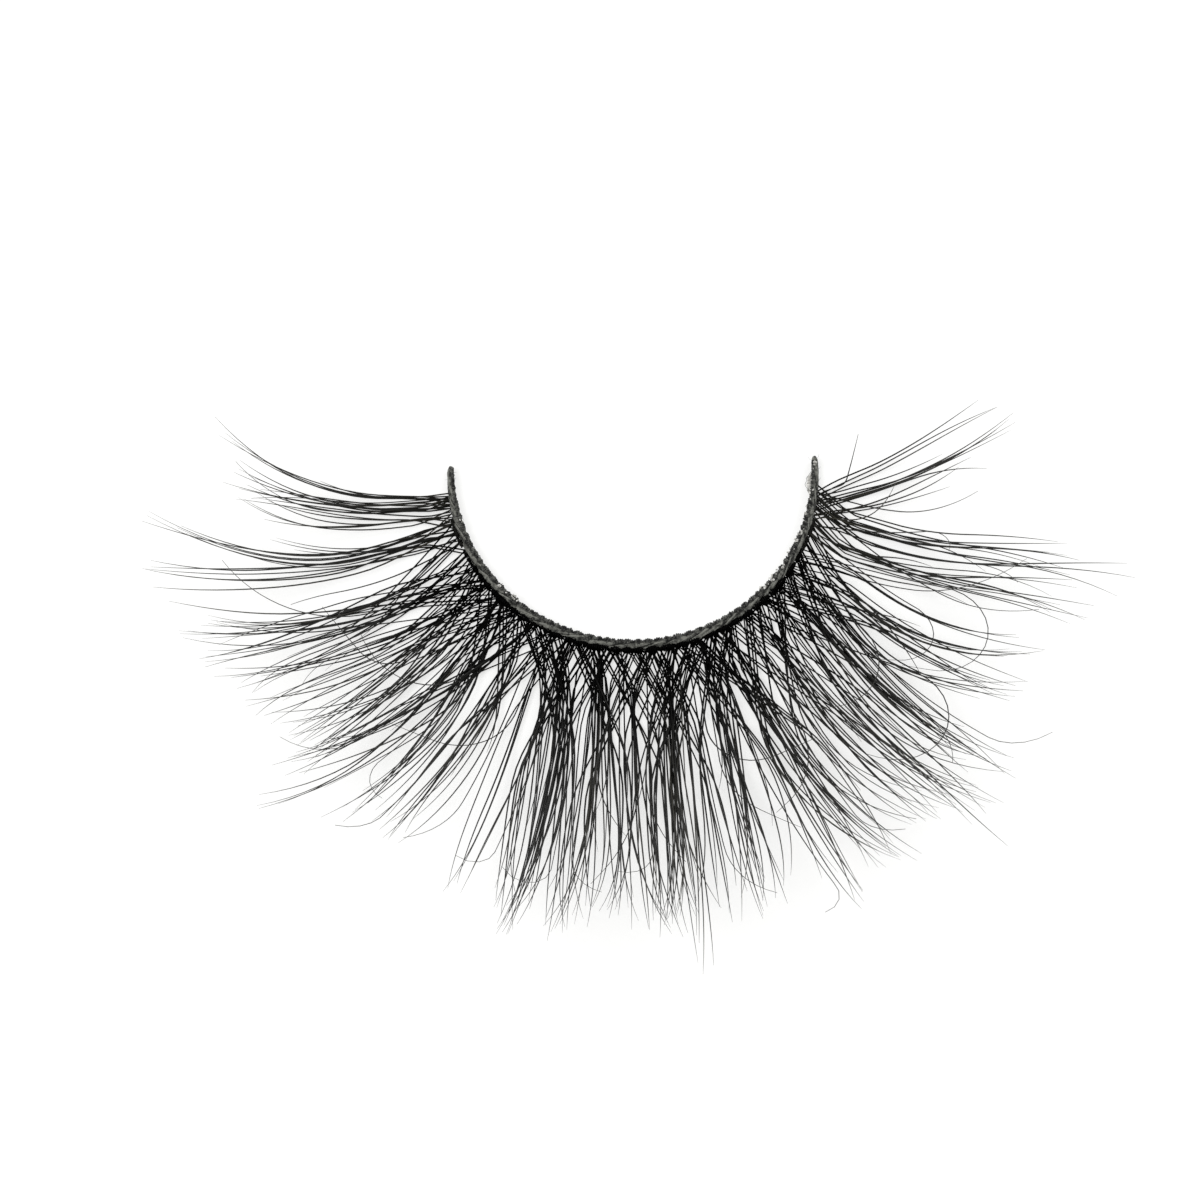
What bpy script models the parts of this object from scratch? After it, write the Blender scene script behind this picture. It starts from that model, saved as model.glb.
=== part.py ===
"""False eyelash strip, lying with its open side to the back and its hair curling up.

A cotton band stands on edge in a U. A knotted thread runs along its upper inner edge.
Seven sections of hair locks fan out from its outer face, each one body with its backing.
Sizes are in metres, +Z is up, and the longest hair points to -Y.
"""

import math

import bmesh
import bpy
from mathutils import Vector

MM = 0.001

# Band: half an ellipse seen from above, measured along the middle of its thickness
BAND_HALF_WIDTH = 10.0 * MM
BAND_DEPTH = 11.0 * MM
BAND_THICKNESS = 0.42 * MM
BAND_HEIGHT = 0.62 * MM
BAND_EDGE = 0.08 * MM
BAND_LEFT_END_DEG = -91.5
BAND_RIGHT_END_DEG = 94.5
BAND_STEP_DEG = 4.5
BAND_SHARP_DEG = 35

# Knotted thread on the upper inner edge of the band
THREAD_RADIUS = 0.12 * MM
THREAD_INWARD = 0.09 * MM
THREAD_END_DEG = 1.0
THREAD_SIDES = 8
THREAD_SHARP_DEG = 60

# Clearance between the pieces, and the wall that cuts it out of the hair
GAP = 0.05 * MM
CUTTER_INWARD = 3.0 * MM
CUTTER_HEIGHT = 4.0 * MM
CUTTER_END_DEG = 110.0

# Points of one mesh nearer than this are one point
WELD = 0.0001 * MM

# Backing strip of a hair section, against the outer face of the band
BACKING_THICKNESS = 0.22 * MM
BACKING_FOOT = 0.06 * MM
BACKING_TOP = 0.46 * MM
BACKING_REACH_DEG = 1.8

# Hair locks: flat hexagons in section that taper to a tip and curl up off the floor
LOCK_STEPS = 8
LOCK_FLATNESS = 0.30
LOCK_TIP_SHARE = 0.09
LOCK_TAPER_POWER = 0.75
LOCK_ROOT_LIFT = 0.16 * MM
LOCK_BELLY_START = 0.14
LOCK_BELLY_END = 0.30
LOCK_RISE_SHARE = 0.33
LOCK_CURL_POWER = 1.75
LOCK_SHARP_DEG = 40

# A lock's side strands: narrower, shorter and turned away from the main one
STRAND_WIDTH_SHARE = 0.5
STRAND_ROOT_SHARE = 0.25
STRAND_TURN_DEG = 2.4
STRAND_SHORTER = 1.9 * MM
SECOND_STRAND_SHORTER = 2.7 * MM

# One row a lock. root_deg: its place round the band, from the middle, right positive.
# tip_deg and tip_mm: its tip, by bearing and distance from the centre of the band.
# bow_mm: how far its middle stands off the straight line, to its left if positive.
# width_mm: its width at the band. strands: 1, or 2 or 3 with side strands.
LOCK_COLUMNS = ("root_deg", "tip_deg", "tip_mm", "bow_mm", "width_mm", "strands")
SECTIONS = {
    "outer_corner_fringe": (
        (-83.5, -91.5, 22.5, 0.6, 0.9, 1),
        (-80.0, -83.0, 21.5, -0.4, 1.1, 2),
    ),
    "outer_edge_fringe": (
        (-73.5, -79.0, 26.5, 1.8, 1.0, 1),
        (-70.0, -70.5, 27.5, -0.3, 1.1, 2),
    ),
    "outer_side_fringe": (
        (-62.5, -62.0, 27.5, 0.1, 1.2, 2),
        (-58.5, -56.5, 27.0, -0.3, 1.8, 2),
        (-54.5, -52.0, 26.5, -0.3, 1.8, 2),
        (-50.5, -47.5, 27.0, 0.0, 1.4, 1),
        (-46.5, -41.0, 26.5, 0.0, 2.0, 3),
        (-43.0, -38.5, 31.5, 0.7, 0.9, 1),
        (-40.0, -39.5, 28.5, -0.2, 1.5, 2),
        (-36.5, -32.0, 29.0, 1.1, 1.6, 2),
        (-32.5, -27.5, 28.5, 0.6, 1.3, 2),
    ),
    "centre_fringe": (
        (-25.5, -19.0, 31.0, 0.0, 1.1, 1),
        (-21.5, -12.5, 32.5, 0.3, 2.0, 3),
        (-16.5, -11.0, 31.0, 0.4, 1.6, 2),
        (-12.5, -7.5, 32.5, 0.5, 1.5, 2),
        (-8.0, -5.0, 31.5, 0.0, 1.7, 2),
        (-3.0, -2.0, 31.5, 0.0, 1.8, 2),
        (2.5, 2.5, 32.0, -0.2, 2.0, 3),
        (8.0, 3.5, 31.0, 0.0, 1.7, 2),
        (11.5, 6.0, 34.5, 0.0, 0.9, 1),
        (14.0, 7.5, 30.5, 0.2, 1.7, 2),
        (18.5, 11.5, 31.0, 0.0, 1.1, 2),
    ),
    "inner_side_fringe": (
        (26.5, 21.0, 32.5, 0.4, 1.1, 1),
        (31.0, 26.5, 31.0, -0.1, 2.0, 3),
        (36.5, 31.5, 29.0, -0.4, 2.0, 3),
        (42.0, 36.5, 30.5, 0.0, 1.8, 2),
        (47.0, 42.5, 29.5, -0.6, 1.0, 1),
        (51.0, 41.0, 27.5, 0.0, 1.7, 2),
        (56.5, 52.5, 26.0, -0.5, 1.9, 3),
        (62.0, 58.0, 25.0, -1.1, 1.2, 2),
    ),
    "inner_edge_fringe": (
        (69.5, 66.0, 26.5, 0.7, 1.2, 1),
        (72.5, 69.5, 25.0, -0.8, 1.4, 2),
        (75.0, 71.0, 28.0, -0.5, 0.8, 1),
        (77.0, 73.0, 24.0, -0.6, 1.3, 2),
    ),
    "inner_corner_fringe": (
        (82.0, 87.0, 18.0, 0.5, 0.7, 1),
        (84.0, 94.0, 20.0, 0.8, 0.8, 2),
    ),
}

HAIR_COLOUR = (0.014, 0.013, 0.011)
COTTON_COLOUR = (0.045, 0.046, 0.039)
THREAD_COLOUR = (0.030, 0.030, 0.027)


def clear_scene():
    for obj in list(bpy.data.objects):
        bpy.data.objects.remove(obj, do_unlink=True)


def new_collection(name):
    collection = bpy.data.collections.new(name)
    bpy.context.scene.collection.children.link(collection)
    return collection


def material(name, colour, roughness):
    made = bpy.data.materials.new(name)
    made.use_nodes = True
    shader = made.node_tree.nodes["Principled BSDF"]
    shader.inputs["Base Color"].default_value = (*colour, 1.0)
    shader.inputs["Roughness"].default_value = roughness
    shader.inputs["Metallic"].default_value = 0.0
    return made


def on_band(degrees, outward, height):
    """The point beside the band at this angle round it, this far outward of its middle."""
    angle = math.radians(degrees)
    x, y = BAND_HALF_WIDTH * math.sin(angle), -BAND_DEPTH * math.cos(angle)
    out = Vector((x / BAND_HALF_WIDTH**2, y / BAND_DEPTH**2, 0)).normalized()
    return Vector((x, y, height)) + out * outward


def along_band(first, last, outward, height):
    """Points beside the band between two angles. One facet faces straight back."""
    around = math.ceil(max(-first, last) / BAND_STEP_DEG)
    corners = [BAND_STEP_DEG * (number + 0.5) for number in range(-around, around)]
    near = BAND_STEP_DEG / 4
    angles = [first, *(c for c in corners if first + near < c < last - near), last]
    return [on_band(angle, outward, height) for angle in angles]


def closed_outline(name, corners):
    """A flat closed curve that a path carries along as its cross-section."""
    curve = bpy.data.curves.new(name, "CURVE")
    curve.dimensions = "2D"
    curve.fill_mode = "NONE"
    spline = curve.splines.new("POLY")
    spline.points.add(len(corners) - 1)
    for point, (x, y) in zip(spline.points, corners):
        point.co = (x, y, 0, 1)
    spline.use_cyclic_u = True
    outline = bpy.data.objects.new(name, curve)
    helpers.objects.link(outline)
    outline.hide_render = True
    return outline


def box_outline(name, width, height, edge):
    """A rectangle with its corners cut off."""
    half_x, half_y = width / 2, height / 2
    corners = []
    for side_x, side_y in ((1, 1), (-1, 1), (-1, -1), (1, -1)):
        flat = (side_x * (half_x - edge), side_y * half_y)
        upright = (side_x * half_x, side_y * (half_y - edge))
        corners += [upright, flat] if side_x == side_y else [flat, upright]
    return closed_outline(name, corners)


def swept(name, path, outline, radii=None):
    """A closed mesh of the outline carried along the path, kept upright."""
    curve = bpy.data.curves.new(name, "CURVE")
    curve.dimensions = "3D"
    curve.twist_mode = "Z_UP"
    curve.bevel_mode = "OBJECT"
    curve.bevel_object = outline
    curve.use_fill_caps = True
    spline = curve.splines.new("POLY")
    spline.points.add(len(path) - 1)
    for index, (point, place) in enumerate(zip(spline.points, path)):
        point.co = (*place, 1)
        point.radius = radii[index] if radii else 1.0
    route = bpy.data.objects.new(name + "_route", curve)
    helpers.objects.link(route)
    bpy.context.view_layer.update()
    graph = bpy.context.evaluated_depsgraph_get()
    mesh = bpy.data.meshes.new_from_object(route.evaluated_get(graph))
    placed = route.matrix_world.copy()
    bpy.data.objects.remove(route)
    shape = bmesh.new()
    shape.from_mesh(mesh)
    bmesh.ops.remove_doubles(shape, verts=shape.verts, dist=WELD)
    bmesh.ops.recalc_face_normals(shape, faces=shape.faces)
    shape.to_mesh(mesh)
    shape.free()
    made = bpy.data.objects.new(name, mesh)
    made.matrix_world = placed
    return made


def finished(piece, look, sharp_deg):
    """Puts a piece under the strip's empty, with its material and smooth shading."""
    piece.parent = strip
    piece.data.materials.clear()
    piece.data.materials.append(look)
    piece.data.shade_smooth()
    piece.data.set_sharp_from_angle(angle=math.radians(sharp_deg))


def make_band():
    outline = box_outline("band_outline", BAND_THICKNESS, BAND_HEIGHT, BAND_EDGE)
    path = along_band(BAND_LEFT_END_DEG, BAND_RIGHT_END_DEG, 0, BAND_HEIGHT / 2)
    band = swept("band", path, outline)
    parts.objects.link(band)
    finished(band, material("band_cotton", COTTON_COLOUR, 0.95), BAND_SHARP_DEG)


def make_knot_thread():
    turns = [math.tau * (side + 0.5) / THREAD_SIDES for side in range(THREAD_SIDES)]
    corners = [(THREAD_RADIUS * math.cos(t), THREAD_RADIUS * math.sin(t)) for t in turns]
    path = along_band(
        BAND_LEFT_END_DEG + THREAD_END_DEG,
        BAND_RIGHT_END_DEG - THREAD_END_DEG,
        -THREAD_INWARD,
        BAND_HEIGHT + GAP + THREAD_RADIUS,
    )
    thread = swept("knot_thread", path, closed_outline("thread_outline", corners))
    parts.objects.link(thread)
    finished(thread, material("thread_cotton", THREAD_COLOUR, 0.85), THREAD_SHARP_DEG)


def make_band_clearance():
    """A wall that takes the band's place, with its clearance, out of the hair sections."""
    outer = BAND_THICKNESS / 2 + GAP
    width = CUTTER_INWARD + outer
    outline = box_outline("clearance_outline", width, CUTTER_HEIGHT, BAND_EDGE)
    path = along_band(-CUTTER_END_DEG, CUTTER_END_DEG, outer - width / 2, 0)
    clearance = swept("band_clearance", path, outline)
    helpers.objects.link(clearance)
    clearance.display_type = "WIRE"
    clearance.hide_render = True
    return clearance


def strands_of(lock):
    """The lock's strands, as (root_deg, tip_deg, tip_radius, bow, width)."""
    root, tip, radius = lock["root_deg"], lock["tip_deg"], lock["tip_mm"] * MM
    bow, width = lock["bow_mm"] * MM, lock["width_mm"] * MM
    strands = [(root, tip, radius, bow, width)]
    mm_per_degree = math.radians(1) * (BAND_HALF_WIDTH + BAND_DEPTH) / 2
    for side, shorter in ((1, STRAND_SHORTER), (-1, SECOND_STRAND_SHORTER)):
        aside = side * STRAND_ROOT_SHARE * width / mm_per_degree
        turn = side * STRAND_TURN_DEG
        strands.append((root + aside, tip + turn, radius - shorter, bow, STRAND_WIDTH_SHARE * width))
    return strands[: lock["strands"]]


def strand_path(root_deg, tip_deg, tip_radius, bow, width):
    """The strand's middle line and its relative widths, from the band to the tip."""
    root = on_band(root_deg, 0, 0)
    bearing = math.radians(tip_deg)
    tip = Vector((math.sin(bearing), -math.cos(bearing), 0)) * tip_radius
    chord = tip - root
    left = Vector((-chord.y, chord.x, 0)).normalized()
    path, radii = [], []
    for step in range(LOCK_STEPS + 1):
        t = step / LOCK_STEPS
        share = 1 - (1 - LOCK_TIP_SHARE) * t**LOCK_TAPER_POWER
        down = max(0, 1 - t / LOCK_BELLY_START)
        up = max(0, (t - LOCK_BELLY_END) / (1 - LOCK_BELLY_END))
        floor_height = LOCK_ROOT_LIFT * down
        floor_height += LOCK_RISE_SHARE * chord.length * up**LOCK_CURL_POWER
        centre = floor_height + share * width * LOCK_FLATNESS / 2
        place = root + chord * t + left * (4 * bow * t * (1 - t))
        path.append(place + Vector((0, 0, centre)))
        radii.append(share * width / MM)
    return path, radii


def make_locks(name, locks, outline):
    """The locks of one hair section, as loose pieces in a collection of their own."""
    group = bpy.data.collections.new(name + "_locks")
    helpers.children.link(group)
    group.hide_render = True
    for number, lock in enumerate(locks):
        for letter, strand in zip("abc", strands_of(lock)):
            path, radii = strand_path(*strand)
            piece = swept(f"{name}_{number}{letter}", path, outline, radii)
            group.objects.link(piece)
            piece.display_type = "WIRE"
            piece.hide_render = True
    return group


def make_backing(name, locks):
    """The strip of knotted roots that a section's locks grow from."""
    outline = box_outline(
        name + "_backing_outline",
        BACKING_THICKNESS + GAP,
        BACKING_TOP - BACKING_FOOT,
        BAND_EDGE / 2,
    )
    path = along_band(
        locks[0]["root_deg"] - BACKING_REACH_DEG,
        locks[-1]["root_deg"] + BACKING_REACH_DEG,
        BAND_THICKNESS / 2 + (GAP + BACKING_THICKNESS) / 2,
        (BACKING_TOP + BACKING_FOOT) / 2,
    )
    return swept(name, path, outline)


def join_and_clear(backing, group, clearance):
    """Joins the locks to their backing and cuts the band's place out of both."""
    join = backing.modifiers.new("join_locks", "BOOLEAN")
    join.operation = "UNION"
    join.solver = "EXACT"
    join.operand_type = "COLLECTION"
    join.collection = group
    cut = backing.modifiers.new("clear_the_band", "BOOLEAN")
    cut.operation = "DIFFERENCE"
    cut.solver = "EXACT"
    cut.object = clearance


def make_fringes():
    flat = LOCK_FLATNESS / 2 * MM
    half = 0.5 * MM
    corners = [(half, 0), (half / 2, flat), (-half / 2, flat)]
    corners += [(-x, -y) for x, y in corners]
    outline = closed_outline("lock_outline", corners)
    clearance = make_band_clearance()
    made = []
    for name, rows in SECTIONS.items():
        locks = [dict(zip(LOCK_COLUMNS, row)) for row in rows]
        made.append((make_backing(name, locks), make_locks(name, locks, outline)))
    for backing, group in made:
        join_and_clear(backing, group, clearance)
        parts.objects.link(backing)
    bpy.context.view_layer.update()
    graph = bpy.context.evaluated_depsgraph_get()
    look = material("lash_hair", HAIR_COLOUR, 0.45)
    for fringe, group in made:
        fringe.data = bpy.data.meshes.new_from_object(fringe.evaluated_get(graph))
        fringe.modifiers.clear()
        finished(fringe, look, LOCK_SHARP_DEG)
        for piece in list(group.objects):
            bpy.data.objects.remove(piece)
        bpy.data.collections.remove(group)


def centre_on_floor():
    """Moves the strip so that the middle of its box is over the origin, on the floor."""
    meshes = [piece.data for piece in parts.objects if piece.type == "MESH"]
    corners = [vertex.co for mesh in meshes for vertex in mesh.vertices]
    low = [min(c[axis] for c in corners) for axis in range(3)]
    high = [max(c[axis] for c in corners) for axis in range(3)]
    strip.location = (-(low[0] + high[0]) / 2, -(low[1] + high[1]) / 2, -low[2])


clear_scene()
parts = new_collection("false_eyelash_strip")
helpers = new_collection("helpers")
strip = bpy.data.objects.new("strip", None)
parts.objects.link(strip)
make_band()
make_knot_thread()
make_fringes()
centre_on_floor()
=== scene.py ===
import math

import bmesh
import bpy
import numpy as np
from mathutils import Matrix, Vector


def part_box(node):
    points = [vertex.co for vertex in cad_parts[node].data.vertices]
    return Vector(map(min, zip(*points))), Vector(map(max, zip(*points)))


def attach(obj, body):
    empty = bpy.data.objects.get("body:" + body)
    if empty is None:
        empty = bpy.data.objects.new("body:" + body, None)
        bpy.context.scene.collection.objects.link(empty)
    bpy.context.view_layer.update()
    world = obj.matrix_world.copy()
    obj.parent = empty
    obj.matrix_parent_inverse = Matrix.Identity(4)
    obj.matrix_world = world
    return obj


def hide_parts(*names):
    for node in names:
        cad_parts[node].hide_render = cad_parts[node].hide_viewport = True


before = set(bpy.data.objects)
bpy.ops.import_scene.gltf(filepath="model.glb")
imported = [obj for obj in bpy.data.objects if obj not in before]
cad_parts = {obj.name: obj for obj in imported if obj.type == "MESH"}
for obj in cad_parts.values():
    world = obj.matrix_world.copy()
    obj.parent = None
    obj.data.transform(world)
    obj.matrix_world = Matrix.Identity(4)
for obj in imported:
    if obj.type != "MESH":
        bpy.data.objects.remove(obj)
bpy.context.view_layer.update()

# Lengths below are in millimetres, and become metres where a mesh or an object is made
MM = 0.001
SEED = 20

# The band's curve, as in the model: half an ellipse seen from above, open at the back
HALF_WIDTH = 10.0
DEPTH = 11.0
THICKNESS = 0.42
HEIGHT = 0.62
LEFT_END_DEG = -91.5
RIGHT_END_DEG = 94.5
MM_PER_DEGREE = math.radians(1) * (HALF_WIDTH + DEPTH) / 2

band_low, band_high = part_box("band")
CENTRE = np.array([
    (band_low[0] + band_high[0]) / 2 / MM,
    band_low[1] / MM + DEPTH + THICKNESS / 2,
    0.0,
])


def on_band(degrees, outward, height):
    """Points beside the band at these angles round it, this far outward of its middle."""
    angle = np.radians(np.asarray(degrees, float))
    x, y = HALF_WIDTH * np.sin(angle), -DEPTH * np.cos(angle)
    nx, ny = x / HALF_WIDTH**2, y / DEPTH**2
    length = np.hypot(nx, ny)
    x, y = x + nx / length * outward, y + ny / length * outward
    return np.stack([x, y, np.broadcast_to(height, x.shape)], axis=-1)


def add_object(name, data):
    made = bpy.data.objects.new(name, data)
    bpy.context.scene.collection.objects.link(made)
    return made


# Camera: in front of the strip and well above it, through a long lens
VIEW_ELEVATION_DEG = 60.0
VIEW_DISTANCE = 450.0
VIEW_WIDTH = 64.8
VIEW_TARGET = CENTRE + (-1.80, -9.66, 3.0)
SENSOR = 36.0
NEAREST_M = 0.01
FARTHEST_M = 20.0


def make_camera():
    data = bpy.data.cameras.new("camera")
    data.sensor_width = SENSOR
    data.lens = SENSOR * VIEW_DISTANCE / VIEW_WIDTH
    data.clip_start = NEAREST_M
    data.clip_end = FARTHEST_M
    camera = add_object("camera", data)
    tilt = math.radians(VIEW_ELEVATION_DEG)
    away = np.array([0.0, -math.cos(tilt), math.sin(tilt)]) * VIEW_DISTANCE
    camera.location = Vector((VIEW_TARGET + away) * MM)
    camera.rotation_euler = (math.pi / 2 - tilt, 0, 0)
    bpy.context.scene.camera = camera


# Lamps: place and diameter in metres, and power in watts
LAMPS = {
    "key": ((-0.25, -0.20, 0.45), 0.25, 1.2),
    "fill": ((0.35, 0.25, 0.35), 0.30, 0.6),
}
WHITE = (1.0, 1.0, 1.0, 1.0)
SURROUNDINGS = 0.75
FLOOR_HALF_WIDTH_M = 3.0
FLOOR_COLOUR = (0.37, 0.37, 0.368, 1.0)
FLOOR_ROUGHNESS = 0.9
FLOOR_GLOW_COLOUR = (1.0, 1.0, 0.99, 1.0)
FLOOR_GLOW = 0.64


def add_lamp(name, place, size, power):
    data = bpy.data.lights.new(name, "AREA")
    data.shape = "DISK"
    data.size = size
    data.energy = power
    lamp = add_object(name, data)
    lamp.location = place
    lamp.rotation_euler = (-Vector(place)).to_track_quat("-Z", "Y").to_euler()


def make_stage():
    """A white floor that glows a little, white surroundings and two soft lamps."""
    scene = bpy.context.scene
    scene.view_settings.view_transform = "Standard"
    world = bpy.data.worlds.new("studio")
    world.use_nodes = True
    background = world.node_tree.nodes["Background"]
    background.inputs["Color"].default_value = WHITE
    background.inputs["Strength"].default_value = SURROUNDINGS
    scene.world = world
    for name, lamp in LAMPS.items():
        add_lamp(name, *lamp)
    shape = bmesh.new()
    bmesh.ops.create_grid(shape, x_segments=1, y_segments=1, size=FLOOR_HALF_WIDTH_M)
    mesh = bpy.data.meshes.new("floor")
    shape.to_mesh(mesh)
    shape.free()
    floor = add_object("floor", mesh)
    paper, _, _, shader = new_material("paper")
    shader.inputs["Base Color"].default_value = FLOOR_COLOUR
    shader.inputs["Roughness"].default_value = FLOOR_ROUGHNESS
    shader.inputs["Emission Color"].default_value = FLOOR_GLOW_COLOUR
    shader.inputs["Emission Strength"].default_value = FLOOR_GLOW
    floor.data.materials.append(paper)


class Line:
    """One thread or hair: its points, its radius at each of them, its own tone, and the look of
    its end:
    1 for a hair's tip, 0 for the root's colour all along, painted shade in the sides and centre
    and painted light at the corners and edges."""

    def __init__(self, points, radius, tone):
        self.points = np.asarray(points, float)
        self.radius = np.broadcast_to(radius, len(self.points))
        self.tone = tone
        self.end_look = 1.0


def tubes(name, lines, sides):
    """One object of closed round tubes along the lines, with their tone and place along."""
    turn = math.tau * np.arange(sides) / sides
    verts, faces, tone, along = [], [], [], []
    start = 0
    for line in lines:
        points = line.points
        count = len(points)
        heading = np.gradient(points, axis=0)
        heading /= np.linalg.norm(heading, axis=1, keepdims=True)
        side = np.cross(heading, (0.0, 0.0, 1.0))
        side /= np.linalg.norm(side, axis=1, keepdims=True)
        up = np.cross(side, heading)
        round_it = side[:, None] * np.cos(turn)[:, None] + up[:, None] * np.sin(turn)[:, None]
        ring = points[:, None] + round_it * line.radius[:, None, None]
        verts.append(ring.reshape(-1, 3))
        first = start + np.arange(count - 1)[:, None] * sides + np.arange(sides)
        second = start + np.arange(count - 1)[:, None] * sides + np.roll(np.arange(sides), -1)
        quads = np.stack([first, second, second + sides, first + sides], axis=-1)
        faces += quads.reshape(-1, 4).tolist()
        faces.append(list(range(start + sides - 1, start - 1, -1)))
        last = start + (count - 1) * sides
        faces.append(list(range(last, last + sides)))
        tone.append(np.full(count * sides, line.tone))
        along.append(np.repeat(np.linspace(0.0, line.end_look, count), sides))
        start += count * sides
    mesh = bpy.data.meshes.new(name)
    mesh.from_pydata(((np.concatenate(verts) + CENTRE) * MM).tolist(), [], faces)
    for label, values in (("tone", tone), ("along", along)):
        layer = mesh.attributes.new(label, "FLOAT", "POINT")
        layer.data.foreach_set("value", np.concatenate(values).astype(np.float32))
    mesh.shade_smooth()
    return add_object(name, mesh)


# Materials. Noise scales are per metre
def new_material(name):
    made = bpy.data.materials.new(name)
    made.use_nodes = True
    nodes, links = made.node_tree.nodes, made.node_tree.links
    return made, nodes, links, nodes["Principled BSDF"]


def attribute_value(nodes, name):
    made = nodes.new("ShaderNodeAttribute")
    made.attribute_name = name
    return made.outputs["Fac"]


def noise_value(nodes, links, scale, detail, roughness=0.5):
    place = nodes.new("ShaderNodeTexCoord")
    noise = nodes.new("ShaderNodeTexNoise")
    noise.inputs["Scale"].default_value = scale
    noise.inputs["Detail"].default_value = detail
    noise.inputs["Roughness"].default_value = roughness
    links.new(place.outputs["Object"], noise.inputs["Vector"])
    return noise.outputs["Fac"]


def ramp_colour(nodes, links, value, stops):
    ramp = nodes.new("ShaderNodeValToRGB")
    elements = ramp.color_ramp.elements
    while len(elements) < len(stops):
        elements.new(0.5)
    for element, (place, colour) in zip(elements, stops):
        element.position = place
        element.color = (*colour, 1.0)
    links.new(value, ramp.inputs["Fac"])
    return ramp.outputs["Color"]


def range_value(nodes, links, value, to_range, from_range=(0.0, 1.0)):
    made = nodes.new("ShaderNodeMapRange")
    made.inputs["From Min"].default_value, made.inputs["From Max"].default_value = from_range
    made.inputs["To Min"].default_value, made.inputs["To Max"].default_value = to_range
    links.new(value, made.inputs["Value"])
    return made.outputs["Result"]


def scaled_sum(nodes, links, value, scale, added):
    """value * scale + added, where added is a number or another node's value."""
    made = nodes.new("ShaderNodeMath")
    made.operation = "MULTIPLY_ADD"
    made.inputs[1].default_value = scale
    links.new(value, made.inputs[0])
    if isinstance(added, float):
        made.inputs[2].default_value = added
    else:
        links.new(added, made.inputs[2])
    return made.outputs["Value"]


# Hair: its colour by the place from root to tip, and by the hair's own tone.
# The colour by place is painted light: painted shade blackens the root, painted highlight
# lightens the hair from halfway to the tip
# Root and middle colours in two copies: a shaded one, near black, for the sides and centre, and
# a lit one, lighter, for the corners and edges: painted shade and painted light
SHADED_ROOT, SHADED_MIDDLE = (0.0008, 0.0008, 0.0008), (0.0018, 0.0018, 0.0016)
LIT_ROOT, LIT_MIDDLE = (0.016, 0.0158, 0.014), (0.018, 0.0177, 0.0155)
HALFWAY_HIGHLIGHT = (0.014, 0.0138, 0.012)
TIP_HIGHLIGHT = (0.030, 0.029, 0.026)
MIDDLE_PLACE = 0.22
HALFWAY_PLACE = 0.50
TONE_STOPS = ((0.0, (0.55, 0.55, 0.55)), (0.7, (1.0, 1.0, 1.0)), (1.0, (2.0, 1.9, 1.7)))
HAIR_GRAIN = 9000.0
HAIR_GRAIN_DETAIL = 3.0
HAIR_ROUGHNESS = (0.30, 0.62)
HAIR_SPECULAR = (0.03, 0.32)
HAIR_SPECULAR_PLACES = (0.15, 0.55)


def hair_material(name, root, middle):
    """Near-black synthetic hair, each hair a little different, with painted shade that blackens
    the root and painted highlight that lightens it toward the tip.
    """
    made, nodes, links, shader = new_material(name)
    along = attribute_value(nodes, "along")
    # Painted light along the hair: painted shade at the root, painted highlight from halfway to
    # the tip
    shade_to_highlight = ramp_colour(nodes, links, along, (
        (0.0, root),
        (MIDDLE_PLACE, middle),
        (HALFWAY_PLACE, HALFWAY_HIGHLIGHT),
        (1.0, TIP_HIGHLIGHT),
    ))
    by_hair = ramp_colour(nodes, links, attribute_value(nodes, "tone"), TONE_STOPS)
    colour = nodes.new("ShaderNodeMix")
    colour.data_type = "RGBA"
    colour.blend_type = "MULTIPLY"
    colour.inputs["Factor"].default_value = 1.0
    links.new(shade_to_highlight, colour.inputs["A"])
    links.new(by_hair, colour.inputs["B"])
    links.new(colour.outputs["Result"], shader.inputs["Base Color"])
    grain = noise_value(nodes, links, HAIR_GRAIN, HAIR_GRAIN_DETAIL)
    rough = range_value(nodes, links, grain, HAIR_ROUGHNESS)
    links.new(rough, shader.inputs["Roughness"])
    sheen = range_value(nodes, links, along, HAIR_SPECULAR, HAIR_SPECULAR_PLACES)
    links.new(sheen, shader.inputs["Specular IOR Level"])
    return made


# Cotton: how far its fibres and each strand's tone lighten it, and the ramp from dark to light
COTTON_GRAIN = 4200.0
COTTON_GRAIN_DETAIL = 5.0
COTTON_GRAIN_ROUGHNESS = 0.7
FIBRE_SHARE = 1.2
TONE_SHARE = 0.30
TONE_BASE = -0.25
COTTON_STOPS = (0.36, 0.64)
COTTON_BUMP = 0.5
COTTON_BUMP_M = 0.00002
COTTON_ROUGHNESS = 0.92
COTTON_SPECULAR = 0.25
COTTON_SHEEN = 0.15
COTTON_SHEEN_ROUGHNESS = 0.5
YARN_DARK, YARN_LIGHT = (0.006, 0.006, 0.005), (0.200, 0.202, 0.180)
THREAD_DARK, THREAD_LIGHT = (0.003, 0.003, 0.003), (0.150, 0.152, 0.137)


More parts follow.
